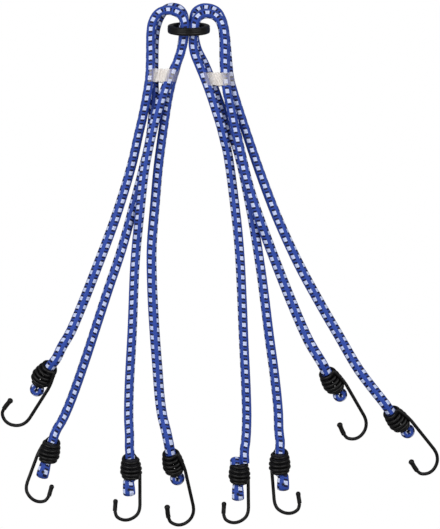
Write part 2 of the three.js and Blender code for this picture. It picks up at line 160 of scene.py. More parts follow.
# %% The four routes
CORDS = {
    "left_upper": {
        "ends": (1, 3),
        "full": (4.3, 4),
        "route": [
            (61.9, 347, 14.6), (70.1, 333, 10.2), (80.1, 310, 5), (95.3, 271.6, 4), (115.8, 216.9, 4),
            (131.8, 164.6, 4), (138.5, 135, 4.2), (142.9, 116, 6.8), (146.8, 96, 12), (149.8, 76, 13.9),
            (150.6, 54, 13.2), (151.1, 31, 12.7), (153.2, 21, 12.8), (158.9, 12.9, 12.9),
            (167.3, 10.2, 13.2), (175.6, 11.8, 15.4), (181.9, 16, 18.6), (184.8, 22.8, 20.2),
            (184.6, 32.5, 20.2), (182.6, 45, 18.3), (178.9, 57.9, 15.5), (174.2, 68.5, 14.2),
            (168.8, 80, 13.9), (162.6, 95.5, 13.5), (156, 117, 12.7), (149.9, 142, 12.7),
            (144.5, 170.1, 12.7), (141.4, 197.2, 12.7), (139.3, 217.1, 12), (137.8, 232.1, 8.9),
            (136.4, 246, 5), (134.7, 268, 4), (132.2, 330, 4), (129.2, 388, 4), (128.7, 418, 5.2),
            (129.5, 436, 8.2),
        ],
        "hand": -1,
        "rolls": [(0, -34), (80, -51), (130, -62), (180, -66), (210, -83), (300, -88), (340, -99),
                  (415, -90), (475, -127), (600, -153), (700, -165), (800, -170)],
        "squares": [(0, 0.6), (57, 6.68), (160, 17.65), (245, 26.45), (300, 32.02), (357, 37.92),
                    (395, 41.75), (451, 47), (489, 50.7), (583, 60.5), (696, 72.35), (752, 78.4),
                    (804, 84.15)],
    },
    "left_lower": {
        "ends": (2, 4),
        "full": (4.08, 4.3),
        "route": [
            (62.9, 418.9, 7), (71.2, 399.8, 4.4), (83.8, 364.3, 4), (108.1, 289.9, 4), (121.8, 248.9, 4),
            (133.6, 206.2, 4), (142.9, 170.2, 4), (150, 139.1, 4), (153.2, 112, 4), (154.2, 92, 4.9),
            (153.9, 76, 5.2), (153.9, 58, 4.7), (154.2, 43, 4.1), (155.6, 29.2, 4), (159.2, 18.3, 4),
            (164.6, 10.4, 4.2), (171.5, 7.5, 5), (179.2, 9.2, 7.4), (183.7, 15.6, 10), (183.8, 26, 11.2),
            (182.9, 38.5, 10.7), (181.3, 49.5, 8.3), (177.8, 60.5, 6.2), (175, 70.5, 5.3),
            (171.8, 81.2, 5.2), (168.6, 95.2, 4.8), (165.7, 112.2, 4), (158.5, 165, 4), (155.5, 198, 4),
            (151.7, 248, 4), (152.1, 285, 4), (154.5, 330, 4), (157.4, 368, 4), (159.8, 398.2, 5.6),
            (162.4, 416.2, 9.6), (166.2, 431.5, 14.2),
        ],
        "hand": 1,
        "rolls": [(0, 8), (110, 10), (170, 25), (207, 22), (232, 36), (430, 44), (451, 72), (490, 92),
                  (640, 96), (750, 122), (868, 146)],
        "squares": [(0, 0.97), (57, 7.2), (113, 13.18), (169, 19.12), (244, 27.08), (357, 38.65), (414, 44.6),
                    (451, 48.33), (508, 53.5), (545, 57.6), (620, 65.33), (733, 77.17), (808, 85.17),
                    (868, 91.5)],
    },
    "right_upper": {
        "ends": (5, 7),
        "full": (4.07, 4.38),
        "route": [
            (245.8, 440, 7.6), (246.7, 418, 4.6), (246.1, 392, 4), (243.9, 345, 4), (239.3, 249, 4),
            (234.5, 203, 4), (227.8, 154, 5.2), (224.2, 139.1, 8.8), (220.5, 124.7, 11.6),
            (216.3, 111.3, 12.9), (210.7, 94.3, 13.7), (205.4, 79.9, 13.9), (199.3, 65, 14.5),
            (194.6, 53, 16.4), (193.2, 42.1, 18.8), (194.6, 31, 20.2), (195.4, 22.5, 19.8),
            (199.2, 16.3, 17.4), (205.6, 13.8, 14.8), (213, 14.8, 13), (219.1, 19.6, 12.7),
            (222.6, 28.2, 12.8), (223.9, 40, 12.9), (224, 56, 13.2), (224.9, 74, 13.9), (226.9, 90, 13.6),
            (231.4, 111, 12.7), (237.2, 136, 12.7), (242.5, 159.9, 12.7), (248.2, 183.8, 12.7),
            (255.6, 207.7, 12.5), (262, 225.7, 10.8), (267.7, 241.2, 6.6), (275.7, 262.2, 4),
            (291.6, 302.2, 4.2), (308.9, 341.4, 11.4),
        ],
        "hand": 1,
        "rolls": [(0, 6), (50, 12), (110, 11), (170, 26), (207, 23), (245, 38), (340, 60), (376, 79),
                  (432, 77), (490, 73), (520, 87), (640, 112), (733, 128), (790, 146)],
        "squares": [(0, 0.75), (57, 6.97), (113, 12.97), (207, 22.85), (301, 32.7), (357, 38.27),
                    (395, 41.85), (451, 47.7), (470, 49.73), (526, 55.4), (583, 61.15), (658, 69),
                    (790, 83.05)],
    },
    "right_lower": {
        "ends": (6, 8),
        "full": (4.1, 4.32),
        "route": [
            (278.9, 431, 7.2), (278.1, 410, 4.4), (274.6, 376.2, 4), (269.2, 336, 4), (261.1, 272, 4),
            (253.5, 224, 4), (246.7, 189.1, 4), (240.8, 162.3, 4), (235.2, 143.2, 4), (227.7, 125, 4),
            (221.4, 108, 4), (214.9, 90.1, 5), (209.5, 75.6, 5.3), (203.9, 62.7, 5.8), (198, 51.2, 8),
            (195, 41.1, 10.3), (193.8, 31, 11.2), (193.5, 20.5, 10.2), (195.5, 12.4, 7.2),
            (200.9, 8.5, 4.9), (208.6, 8.1, 4.1), (216.9, 11.6, 4), (222, 20.2, 4), (225, 33.2, 4),
            (226.5, 48, 4.2), (227.9, 64, 5.1), (229.6, 78.9, 5.2), (233.4, 92.5, 4.8), (239.3, 111.2, 4),
            (248.1, 137.9, 4), (260.2, 173.1, 4), (276.6, 216, 4), (298.5, 263.7, 4), (321.3, 305.6, 4),
            (338.9, 335.9, 5.2), (359.1, 370.2, 12.2),
        ],
        "hand": 1,
        "rolls": [(0, 7), (75, 17), (110, 10), (170, 26), (225, 30), (263, 18), (320, 80), (376, 118),
                  (451, 78), (490, 102), (550, 184), (650, 184), (696, 205), (844, 226)],
        "squares": [(0, 0.6), (19, 2.62), (57, 6.85), (113, 12.82), (188, 20.7), (226, 24.95), (282, 30.88),
                    (338, 36.2), (414, 44.1), (470, 50.75), (545, 58.3), (600, 63.85), (677, 71.95),
                    (733, 77.83), (844, 89.55)],
    },
}
print("cords:", len(CORDS))

# %% [markdown]
# A smooth line through the rows gives the cord's middle. The spline is the centripetal one, which makes
# no loops of its own where the rows lie close together. Stretched cord is a little thinner than slack
# cord, so the runs near the ring are thinner than those near the hooks, and each lies as much lower.

# %% The cords' middle lines
CORD_DIAMETER = 8
THIN = {"radius": 3.95, "down": 90}
FULL_FROM = 300
STEPS_A_ROW = 24
CORD_ENDS = (-1.2, 2.15, 9)
ONTO_THE_AXIS = (0, 0.3, 1)
CLEAR_OF_TABLE = 0.1


def smooth_line(rows, steps):
    rows = np.asarray(rows, float)
    rows = np.vstack([2 * rows[0] - rows[1], rows, 2 * rows[-1] - rows[-2]])
    line = []
    for before, start, end, after in zip(rows, rows[1:], rows[2:], rows[3:]):
        first, middle, last = (math.sqrt(np.linalg.norm(b - a))
                               for a, b in ((before, start), (start, end), (end, after)))
        leave = (start - before) / first - (end - before) / (first + middle) + (end - start) / middle
        arrive = (end - start) / middle - (after - start) / (middle + last) + (after - end) / last
        leave, arrive = leave * middle, arrive * middle
        for step in np.arange(steps) / steps:
            line.append(start + leave * step + (3 * (end - start) - 2 * leave - arrive) * step ** 2
                        + (2 * (start - end) + leave + arrive) * step ** 3)
    return np.array(line + [rows[-2]])


def lengths_along(points):
    return np.concatenate([[0], np.cumsum(np.linalg.norm(np.diff(points, axis=0), axis=1))])


def even_steps(points, spacing):
    passed = lengths_along(points)
    wanted = np.linspace(0, passed[-1], max(2, round(passed[-1] / spacing)) + 1)
    return np.column_stack([np.interp(wanted, passed, points[:, i]) for i in range(points.shape[1])])


def cord_radius(line, full):
    """Thin near the ring, and at each end as thick as `full` says."""
    down = EYE["down"] - (line[:, 1] / MM_PER_PIXEL - (ORIGIN["down"] - EYE["down"]))
    share = np.clip((down - THIN["down"]) / (FULL_FROM - THIN["down"]), 0, 1)
    ends = np.where(np.arange(len(line)) < len(line) / 2, *full)
    return THIN["radius"] + (ends - THIN["radius"]) * share ** 2 * (3 - 2 * share)


def cord_line(cord, spacing):
    entries = []
    for number in cord["ends"]:
        stance = STANCES[number]
        beside = BESIDE.get(number, 0)
        shares = (1, 1, 1) if beside > 1 else ONTO_THE_AXIS
        entries.append([stance.by_coil(-d, beside * share, 0) for d, share in zip(CORD_ENDS, shares)])
    rows = entries[0] + [place(*row) for row in cord["route"]] + entries[1][::-1]
    line = even_steps(smooth_line(rows, STEPS_A_ROW), spacing)
    radius = cord_radius(line, cord["full"])
    line[:, 2] = np.maximum(line[:, 2] * radius / (CORD_DIAMETER / 2), radius + CLEAR_OF_TABLE)
    return line, radius


print("length of each cord, mm:",
      {name: round(lengths_along(cord_line(cord, 1)[0])[-1]) for name, cord in CORDS.items()})

# %% [markdown]
# A sheath, a cap and a folded end are all tubes, so one helper makes them. It sets a ring of points round
# each step of the middle line. `flat` is a direction that the rings never turn away from, such as straight
# up for a cord that lies on a table, so that the pattern only rolls where the maker rolls it. The helper
# also writes a UV map: U goes once round the tube, and V counts the repeats of the pattern along it. A
# `hand` of -1 turns U round, which mirrors the pattern.

# %% Tubes with a pattern on them
def unit(vectors):
    return vectors / np.linalg.norm(vectors, axis=-1, keepdims=True)


def new_piece(name, points, faces):
    mesh = bpy.data.meshes.new(name)
    mesh.from_pydata((np.asarray(points) * MM).tolist(), [], faces)
    mesh.polygons.foreach_set("use_smooth", [True] * len(mesh.polygons))
    mesh.validate()
    piece = bpy.data.objects.new(name, mesh)
    bpy.context.scene.collection.objects.link(piece)
    return piece


def write_number(piece, name, values):
    """A number at each point of a mesh, for its finish to read."""
    attribute = piece.data.attributes.new(name, "FLOAT", "POINT")
    attribute.data.foreach_set("value", np.asarray(values, np.float32))


def ring_frames(line, flat):
    ahead = unit(np.gradient(line, axis=0))
    side = unit(np.cross(np.asarray(flat, float), ahead))
    return side, np.cross(ahead, side)


def grid_faces(rings, sides):
    ring, step = np.meshgrid(np.arange(rings - 1), np.arange(sides), indexing="ij")
    ring, step, after = ring.ravel(), step.ravel(), (step.ravel() + 1) % sides
    return np.column_stack([ring * sides + step, ring * sides + after,
                            (ring + 1) * sides + after, (ring + 1) * sides + step])


def tube(name, line, flat, sides, wide, thick, rolls, repeats, relief=None, hand=1):
    """A closed tube. wide and thick are its half sizes across and along `flat`, at each ring."""
    rings = len(line)
    wide, thick, rolls, repeats = (np.broadcast_to(v, rings) for v in (wide, thick, rolls, repeats))
    side, rise = ring_frames(line, flat)
    around = np.arange(sides) / sides * 2 * math.pi
    swell = 1 + (relief(hand * (around[None, :] / (2 * math.pi) + rolls[:, None] / 360), repeats[:, None])
                 / wide[:, None] if relief else np.zeros((rings, sides)))
    points = (line[:, None, :]
              + side[:, None, :] * (wide[:, None] * np.sin(around) * swell)[..., None]
              + rise[:, None, :] * (thick[:, None] * np.cos(around) * swell)[..., None])
    points = np.vstack([points.reshape(-1, 3), line[0], line[-1]])
    quads = grid_faces(rings, sides)
    first, last = rings * sides, rings * sides + 1
    low = [(first, (i + 1) % sides, i) for i in range(sides)]
    high = [(last, (rings - 1) * sides + i, (rings - 1) * sides + (i + 1) % sides) for i in range(sides)]
    piece = new_piece(name, points, quads.tolist() + low + high)
    weave = piece.data.uv_layers.new(name="weave")
    ring = np.repeat(np.arange(rings - 1), sides)
    step = np.tile(np.arange(sides), rings - 1)
    corners = np.stack([np.stack([step, ring], -1), np.stack([step + 1, ring], -1),
                        np.stack([step + 1, ring + 1], -1), np.stack([step, ring + 1], -1)], 1).reshape(-1, 2)
    uv = np.zeros((len(piece.data.loops), 2), np.float32)
    uv[:len(corners), 0] = hand * (corners[:, 0] / sides + rolls[corners[:, 1]] / 360)
    uv[:len(corners), 1] = repeats[corners[:, 1]]
    uv[len(corners):len(corners) + 3 * sides, 1] = repeats[0]
    uv[len(corners) + 3 * sides:, 1] = repeats[-1]
    weave.data.foreach_set("uv", uv.ravel())
    return piece


# %% [markdown]
# The sheath is woven from yarns that cross over and under each other, and each place where a yarn comes
# to the top is called a pick. Twenty-four yarns go round the cord, six to a column of the pattern, and
# five picks make one repeat along it. Each column starts a quarter of a repeat after the one beside it,
# and each yarn a little after its neighbour, as on a braid. `LONG_PICKS` makes some picks longer than
# others. The picks are real bumps in the mesh, so the edge of the cord is lightly scalloped from any side.

# %% The woven sheaths
YARNS_ROUND = 24
YARNS_A_COLUMN = 6
PICKS_A_REPEAT = 5
COLUMN_SHIFT = PICKS_A_REPEAT * YARNS_A_COLUMN / YARNS_ROUND
YARN_SHIFT = 0.1
LONG_PICKS = {"most": 0.08, "at": 3.5}
PICK_RELIEF = 0.11
FIRST_YARN = 1.5
CROWN_MIDDLE = 0.45
CORD_SIDES = 48
CORD_STEP = 0.54
PIECES = {}


def pick_relief(across, repeats):
    yarn = across * YARNS_ROUND + FIRST_YARN
    passed = (repeats * PICKS_A_REPEAT - np.floor(yarn / YARNS_A_COLUMN) * COLUMN_SHIFT
              - (np.floor(yarn) % YARNS_A_COLUMN - 1) * YARN_SHIFT)
    pick = passed + LONG_PICKS["most"] * np.sin((passed - LONG_PICKS["at"]) * 2 * math.pi / PICKS_A_REPEAT)
    crown = np.sin(math.pi * (yarn % 1)) * np.sin(math.pi * (pick % 1))
    return PICK_RELIEF * (crown - CROWN_MIDDLE)


def picture_distance(line):
    """How far along the route each ring is, in pixels of the picture."""
    nearer = 1 - line[:, 2] / EYE["height"]
    return lengths_along(np.column_stack([line[:, 0], line[:, 1]]) / nearer[:, None] / MM_PER_PIXEL)


for name, cord in CORDS.items():
    line, radius = cord_line(cord, CORD_STEP)
    start = place(*cord["route"][0])
    at_start = np.argmin(np.linalg.norm(line - start, axis=1))
    passed = picture_distance(line)
    passed -= passed[at_start]
    rolls = np.interp(passed, *np.array(cord["rolls"]).T)
    count = np.array(cord["squares"], float).T
    slope = (count[1, -1] - count[1, 0]) / (count[0, -1] - count[0, 0])
    repeats = np.interp(passed, *count)
    repeats += slope * (np.minimum(passed - count[0, 0], 0) + np.maximum(passed - count[0, -1], 0))
    piece = tube("sheath_" + name, line, (0, 0, 1), CORD_SIDES, radius, radius, rolls, repeats, pick_relief,
                 cord["hand"])
    PIECES["sheath_" + name] = piece
    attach(piece, "root")
    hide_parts("cord_" + name)
    (line[0] * MM).tolist()
    (line * MM).tolist()
    print(piece.name, "faces:", len(piece.data.polygons))

# %% [markdown]
# Every finish below is worked out by shader maths. `Signal` wraps a shader socket, so that ordinary Python
# arithmetic on it adds the Math nodes, and `Finish` holds one material and adds any other node.

# %% Shader maths
class Signal:
    """A number that varies over a surface."""

    def __init__(self, finish, socket):
        self.finish, self.socket = finish, socket

    def _maths(self, operation, *values):
        return self.finish.node("ShaderNodeMath", {"operation": operation}, dict(enumerate(values)))

    def __add__(self, other):
        return self._maths("ADD", self, other)

    def __sub__(self, other):
        return self._maths("SUBTRACT", self, other)

    def __rsub__(self, other):
        return self._maths("SUBTRACT", other, self)

    def __mul__(self, other):
        return self._maths("MULTIPLY", self, other)

    def __truediv__(self, other):
        return self._maths("DIVIDE", self, other)

    def __mod__(self, other):
        return self._maths("FLOORED_MODULO", self, other)

    def __lt__(self, other):
        return self._maths("LESS_THAN", self, other)

    def __gt__(self, other):
        return self._maths("GREATER_THAN", self, other)

    def __abs__(self):
        return self._maths("ABSOLUTE", self)

    def floor(self):
        return self._maths("FLOOR", self)

    def sine(self):
        return self._maths("SINE", self)

    def clamped(self):
        return self.finish.node("ShaderNodeClamp", {}, {"Value": self})

    __radd__, __rmul__ = __add__, __mul__


class Finish:
    """One material. Constants go straight on the shader's own sockets."""

    def __init__(self, name, **constants):
        self.material = bpy.data.materials.new(name)
        self.material.use_nodes = True
        self.tree = self.material.node_tree
        self.shader = self.tree.nodes["Principled BSDF"]
        for words, value in constants.items():
            self.shader.inputs[words.replace("_", " ")].default_value = value

    def node(self, kind, settings, sockets, out=0):
        node = self.tree.nodes.new(kind)
        for setting, value in settings.items():
            setattr(node, setting, value)
        for socket, value in sockets.items():
            self.join(value, node.inputs[socket])
        return Signal(self, node.outputs[out])

    def join(self, value, target):
        if isinstance(value, Signal):
            self.tree.links.new(value.socket, target)
        else:
            target.default_value = value

    def parts(self, vector):
        node = self.node("ShaderNodeSeparateXYZ", {}, {"Vector": vector}).socket.node
        return [Signal(self, output) for output in node.outputs]

    def mix(self, share, first, second, how="MIX"):
        settings = {"data_type": "RGBA", "blend_type": how}
        return self.node("ShaderNodeMix", settings, {0: share, 6: first, 7: second}, out=2)

    def noise(self, vector, scale, detail=3.0, roughness=0.55):
        return self.node("ShaderNodeTexNoise", {}, {
            "Vector": vector, "Scale": scale, "Detail": detail, "Roughness": roughness}, out="Fac")

    def bump(self, height, strength, distance):
        normal = self.node("ShaderNodeBump", {}, {
            "Height": height, "Strength": strength, "Distance": distance})
        self.set("Normal", normal)

    def set(self, socket, value):
        self.join(value, self.shader.inputs[socket])


def colour(red, green, blue):
    """A colour as it looks on a screen, from 0 to 255, turned into linear light."""
    return tuple(((v / 255 + 0.055) / 1.055) ** 2.4 if v > 10 else v / 255 / 12.92
                 for v in (red, green, blue)) + (1,)


# %% [markdown]
# The sheath is royal blue. Four columns run along it, a quarter of a turn apart, and three of the six
# yarns in each are patterned. On those, two white picks are followed by a navy one, a blue one and a navy
# one. The colour is decided pick by pick, in the same count as the bumps in the mesh, so no colour crosses
# from one yarn to the next. Shade is painted into the colour where a pick dives under its neighbour.
# Inside a coil, and in the eye of a fold, the sheath would lie in shadow, so shade is painted there too: a
# number stored on each folded end says where, and the finish turns the colour nearly black there.

# %% Sheath finish
def sheath_finish():
    finish = Finish("woven_sheath", Roughness=0.62, Specular_IOR_Level=0.25, Sheen_Weight=0.05)
    weave = finish.node("ShaderNodeUVMap", {"uv_map": "weave"}, {})
    across, repeats, _ = finish.parts(weave)
    yarn = across * YARNS_ROUND + FIRST_YARN
    place_in_column = yarn.floor() % YARNS_A_COLUMN
    passed = (repeats * PICKS_A_REPEAT - (yarn / YARNS_A_COLUMN).floor() * COLUMN_SHIFT
              - (place_in_column - 1) * YARN_SHIFT)
    pick = passed + LONG_PICKS["most"] * ((passed - LONG_PICKS["at"]) * 2 * math.pi / PICKS_A_REPEAT).sine()
    patterned = place_in_column < 2.5
    turn = pick.floor() % PICKS_A_REPEAT
    white = patterned * (turn < 1.5)
    navy = patterned * (turn > 1.5) * (abs(turn - 3) > 0.5)
    crown = (yarn % 1 * math.pi).sine() * (pick % 1 * math.pi).sine()
    spots = finish.noise(finish.node("ShaderNodeTexCoord", {}, {}, out="Object"), 900.0)
    # Painted shade: darker where a pick dives under its neighbour, lighter on its crown, with a faint random
    # tone from the spots.
    crevice_shade_and_tone = 0.62 + 0.42 * crown + 0.16 * (spots - 0.5)
    base = finish.mix(white, colour(46, 77, 168), colour(209, 220, 252))
    base = finish.mix(navy, base, colour(8, 8, 54))
    # Painted shade: inside a coil and in the eye of a fold the sheath's colour is turned nearly black, as if
    # in shadow.
    painted_shade = finish.node("ShaderNodeAttribute", {"attribute_name": "painted_shade"}, {}, out="Fac")
    base = finish.mix(painted_shade, base, colour(9, 10, 22))
    # Painted shade: the base colour is multiplied towards a grey blue in the crevices between picks.
    shade = finish.mix(crevice_shade_and_tone.clamped(), (0.3, 0.32, 0.46, 1), (1, 1, 1, 1))
    finish.set("Base Color", finish.mix(1.0, base, shade, how="MULTIPLY"))
    finish.set("Roughness", 0.68 - 0.14 * crown)
    fibres = finish.noise(finish.node("ShaderNodeCombineXYZ", {}, {
        0: across * 400, 1: repeats * 12, 2: 0.0}), 1.0)
    finish.bump(fibres, 0.25, 0.0002)
    return finish.material


SHEATH = sheath_finish()
for name in CORDS:
    PIECES["sheath_" + name].data.materials.append(SHEATH)
print("sheath nodes:", len(SHEATH.node_tree.nodes))

# %% [markdown]
# The hooks are bent from one round wire with a thin black coating. The wire starts at the coil's foot,
# winds up to the mouth, bends over and runs down outside the coil as the shank, then round the J. The line
# of its middle is worked out here. `J` gives the bent wire, and then the cap, as distances along and beside
# the shank, counted from the bottom of the J.

# %% The wire's path
COIL_STEPS_A_TURN = 40
LAST_TURN_ENDS = 75
J_STEPS = 8
J_RISE = 0.52
RISE_AT_CAP = 0.8
BEND_STEPS = 8
BRIDGE_STEPS = 12
SHANK_STARTS = [(0.8, -3.4), (5.5, -1.7), (11, -0.5), (16, 0)]
J = {
    True: {
        "wire": [(-14.2, 0), (-10.3, -0.6), (-6.6, -2.1), (-3.5, -4.6), (-1.3, -7.9), (-0.1, -11.7),
                 (-0.3, -15.7), (-2, -19.2), (-4.9, -21.9), (-8.7, -22.7)],
        "cap": [(-8.7, -22.7), (-12.6, -22.5), (-16.5, -22), (-20.4, -21.5)],
    },
    False: {
        "wire": [(-12.7, 0), (-8.8, -0.5), (-5.1, -2.1), (-2.4, -5), (-0.6, -8.6), (0, -12.5),
                 (-0.8, -16.4), (-3.1, -19.7), (-7.6, -21.3)],
        "cap": [(-7.6, -21.3), (-10.6, -21.1), (-14.6, -20.8), (-18, -20.7)],
    },
}


def coil_radius(share):
    low, high = COIL["mouth"], COIL["foot"]
    at, widest = COIL["widest_at"], COIL["widest"]
    if share < at:
        return low + (widest - low) * math.sin(math.pi / 2 * share / at)
    return high + (widest - high) * math.cos(math.pi / 2 * (share - at) / (1 - at))


def j_line(stance, part, first, last):
    """The J's wire or its cap. It rises a little towards its end, because the cap is thicker."""
    rows = np.array(J[stance.hook["over"]][part], float)
    line = smooth_line(rows, J_STEPS)
    rise = np.linspace(first, last, len(line)) * J_RISE
    hook, up = stance.hook, stance.lie["shank_up"]
    return [stance.by_shank(hook["reach"] + along, hook["off"] + beside, up + r)
            for (along, beside), r in zip(line, rise)]


def wire_path(stance):
    face = 1 if stance.hook["over"] else -1
    steps = round(COIL["turns"] * COIL_STEPS_A_TURN)
    path = []
    for share in np.linspace(1, 0, steps + 1):
        angle = math.radians(LAST_TURN_ENDS) + share * COIL["turns"] * 2 * math.pi
        radius = coil_radius(share)
        up = face * radius * math.sin(angle)
        lean = COIL_LEAN["mouth"] + (COIL_LEAN["foot"] - COIL_LEAN["mouth"]) * share
        path.append(stance.by_coil(share * COIL_LENGTH + lean * up, radius * math.cos(angle), up))
    shank = [stance.by_shank(along, stance.hook["off"] + nearer, stance.lie["shank_up"])
             for along, nearer in SHANK_STARTS]
    bend = smooth_line([path[-BEND_STEPS], path[-1]] + shank, BEND_STEPS)
    path += list(bend[BEND_STEPS + 1:])
    arc = j_line(stance, "wire", 0, RISE_AT_CAP)
    bridge = np.linspace(0, 1, BRIDGE_STEPS)[1:-1]
    path += [path[-1] + (arc[0] - path[-1]) * share for share in bridge] + arc
    return np.array(path)


print("wire in the first hook, mm:", round(lengths_along(wire_path(STANCES[1]))[-1]))

# %% [markdown]
# A Geometry Nodes tree sweeps a round section along the path. It could be a curve with a bevel, but the
# tree takes the wire's diameter as an input, so that one tree serves all eight hooks.

# %% A Geometry Nodes tree that sweeps round wire
class Tree:
    """A Geometry Nodes tree. Nodes are added in order, and sockets are joined by name."""

    def __init__(self, name, **inputs):
        self.tree = bpy.data.node_groups.new(name, "GeometryNodeTree")
        self.tree.interface.new_socket("Geometry", in_out="INPUT", socket_type="NodeSocketGeometry")
        self.identifiers = {}
        for words, kind in inputs.items():
            socket = self.tree.interface.new_socket(
                words.replace("_", " "), in_out="INPUT", socket_type="NodeSocket" + kind)
            self.identifiers[words] = socket.identifier
        self.tree.interface.new_socket("Geometry", in_out="OUTPUT", socket_type="NodeSocketGeometry")
        self.given = self.tree.nodes.new("NodeGroupInput").outputs

    def node(self, kind, settings=None, sockets=None, out=0):
        node = self.tree.nodes.new(kind)
        for setting, value in (settings or {}).items():
            setattr(node, setting, value)
        for socket, value in (sockets or {}).items():
            if isinstance(value, bpy.types.NodeSocket):
                self.tree.links.new(value, node.inputs[socket])
            else:
                node.inputs[socket].default_value = value
        return node.outputs[out] if len(node.outputs) else node

    def apply(self, piece, **values):
        """Runs the tree on a piece and leaves a plain mesh."""
        modifier = piece.modifiers.new(self.tree.name, "NODES")
        modifier.node_group = self.tree
        for words, value in values.items():
            modifier[self.identifiers[words]] = value
        bpy.context.view_layer.update()
        graph = bpy.context.evaluated_depsgraph_get()
        made = bpy.data.meshes.new_from_object(piece.evaluated_get(graph), preserve_all_data_layers=True,
                                               depsgraph=graph)
        piece.modifiers.remove(modifier)
        piece.data = made
        return piece


def wire_tree():
    tree = Tree("round_wire", Wire_diameter="Float", Sides="Int", Coating="Material")
    given = tree.given
    path = tree.node("GeometryNodeMeshToCurve", sockets={"Mesh": given["Geometry"]})
    half = tree.node("ShaderNodeMath", {"operation": "MULTIPLY"}, {0: given["Wire diameter"], 1: 0.5})
    section = tree.node("GeometryNodeCurvePrimitiveCircle", sockets={
        "Resolution": given["Sides"], "Radius": half})
    swept = tree.node("GeometryNodeCurveToMesh", sockets={
        "Curve": path, "Profile Curve": section, "Fill Caps": True})
    rounded = tree.node("GeometryNodeSetShadeSmooth", {"domain": "FACE"}, {0: swept})
    real = tree.node("GeometryNodeRealizeInstances", sockets={0: rounded})
    coated = tree.node("GeometryNodeSetMaterial", sockets={"Geometry": real, "Material": given["Coating"]})
    tree.node("NodeGroupOutput", sockets={0: coated})
    return tree


ROUND_WIRE = wire_tree()
print("nodes in the wire's tree:", len(ROUND_WIRE.tree.nodes))

# %% [markdown]
# The coating is a thin black vinyl, dipped and cured. It is glossy but not smooth: it has a faint orange
# peel, and it is rubbed duller here and there.

# %% Coating finish and the hooks
def coating_finish(name, tone, roughness, peel):
    finish = Finish(name, Specular_IOR_Level=0.25)
    where = finish.node("ShaderNodeTexCoord", {}, {}, out="Object")
    rubbed = finish.noise(where, 140.0, detail=4.0)
    fine = finish.noise(where, peel, detail=2.0)
    worn = colour(tone + 9, tone + 8, tone + 8)
    finish.set("Base Color", finish.mix(rubbed, colour(tone, tone, tone), worn))
    finish.set("Roughness", roughness + 0.22 * (rubbed - 0.5))
    finish.bump(fine, 0.3, 0.00025)
    return finish.material


WIRE_COATING = coating_finish("wire_coating", 4, 0.4, 1500.0)
WIRE_SIDES = 20


def new_path(name, path):
    mesh = bpy.data.meshes.new(name)
    mesh.from_pydata((path * MM).tolist(), [(i, i + 1) for i in range(len(path) - 1)], [])
    piece = bpy.data.objects.new(name, mesh)
    bpy.context.scene.collection.objects.link(piece)
    return piece


for number, stance in STANCES.items():
    piece = new_path(f"hook_wire_{number}", wire_path(stance))
    ROUND_WIRE.apply(piece, Wire_diameter=WIRE * MM, Sides=WIRE_SIDES, Coating=WIRE_COATING)
    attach(piece, "root")
    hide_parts(f"hook_{number}")
print("faces in one hook:", len(piece.data.polygons))

# %% [markdown]
# A soft vinyl cap is pushed on the end of each J. It follows the wire's bend, is a little thicker than the
# wire, and ends in a round knob.

# %% Tip caps
CAP = {"radius": {True: 2, False: 1.85}, "knob": {True: 2.55, False: 2.1}, "sides": 24}
CAP_STEP = 0.18
CAP_LIP = {"radius": 1.5, "long": 0.5}
KNOB_STARTS = {"full": 1.9, "fall": 2.6}
SMALLEST_RING = 0.05
CAP_VINYL = coating_finish("cap_vinyl", 5, 0.5, 900.0)


def rounding(share):
    """A quarter circle from 0 to 1, for a rounded edge."""
    return np.sqrt(np.clip(1 - (1 - np.clip(share, 0, 1)) ** 2, 0, 1))


for number, stance in STANCES.items():
    line = even_steps(np.array(j_line(stance, "cap", RISE_AT_CAP, 1)), CAP_STEP)
    passed = lengths_along(line)
    left = passed[-1] - passed
    knob, thin = CAP["knob"][stance.hook["over"]], CAP["radius"][stance.hook["over"]]
    body = thin + (knob - thin) * np.clip(KNOB_STARTS["full"] - left / KNOB_STARTS["fall"], 0, 1) ** 2
    lip = CAP_LIP["radius"] + (body - CAP_LIP["radius"]) * rounding(passed / CAP_LIP["long"])
    radius = np.maximum(np.where(passed < 1, lip, body * rounding(left / knob)), SMALLEST_RING)
    piece = tube(f"vinyl_cap_{number}", line, stance.shank[2], CAP["sides"], radius, radius, 0, 0)
    piece.data.materials.append(CAP_VINYL)
    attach(piece, "root")
    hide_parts(f"tip_cap_{number}")
print("caps:", len(STANCES))

# %% [markdown]
# Inside the coil the cord's end is folded back on itself, and the fold stands out below the coil as a blue
# knob. On the hooks that lie flat the fold is seen from its back, so it is one broad tongue. On the others
# it is seen from the side, as a tight round loop. Both are the same tube, bent in a different plane. In
# `FOLD`, True is for the hooks whose shank passes over the coil. `neck` is how much of its full size the
# cord keeps at the coil's foot, `eye` is how far below the foot the eye of the loop lies, round which shade
# is painted dark on the sheath, and `roll` and `count` place the pattern.

# %% Folded ends
FOLD = {
    True: {
        "length": 9.6, "bend": 3.15, "wide": 3.05, "thick": 4.3, "neck": 0.5,
        "roll": 45, "count": 0.2, "eye": 3.4,
    },
    False: {
        "length": 13, "bend": 2.2, "wide": 5.1, "thick": 2.15, "neck": 0.84,
        "roll": 62, "count": 0.62, "eye": 7,
    },
}
FOLD_STARTS = 1.8
INSIDE_WIRE = 1.0
FOLD_SIDES = 40
FOLD_STEP = 0.45
FOLD_STEPS = {"leg": 60, "turn": 26}
KNOB_SHIFT = {"before_foot": 4.5, "over": 5.5}
REPEAT_LENGTH = 8.1
# Painted shade: how far past the coil and round the eye of the loop the sheath is darkened, and how soft its
# edge is.
PAINTED_SHADE_SPREAD = {"past_coil": 1.2, "eye": 1.9, "fade": 1.1}


